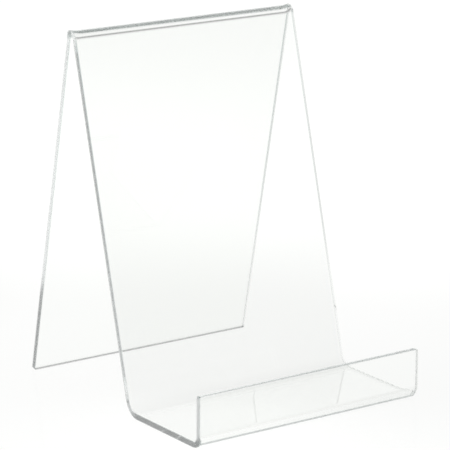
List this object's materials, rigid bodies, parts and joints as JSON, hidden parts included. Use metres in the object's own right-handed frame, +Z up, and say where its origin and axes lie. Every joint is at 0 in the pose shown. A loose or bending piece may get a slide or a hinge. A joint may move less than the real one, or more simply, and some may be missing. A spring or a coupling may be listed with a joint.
{
  "type": "book display stand",
  "caption": "Easel for one book, folded from clear acrylic sheet: back leg, acute top fold, leaning front panel, flat shelf and upright front lip.",
  "frame": {"origin": "centre of the footprint, at table level", "axes": "+Z up, X along the width of the stand, the lip faces -Y and the back leg stands at +Y"},
  "size_m": [0.1278, 0.1459, 0.1769],
  "materials": {
    "clear_acrylic": "clear, glossy faces with polished edges"
  },
  "bodies": {
    "root": {"bent_acrylic_sheet": "clear_acrylic"}
  },
  "joints": []
}
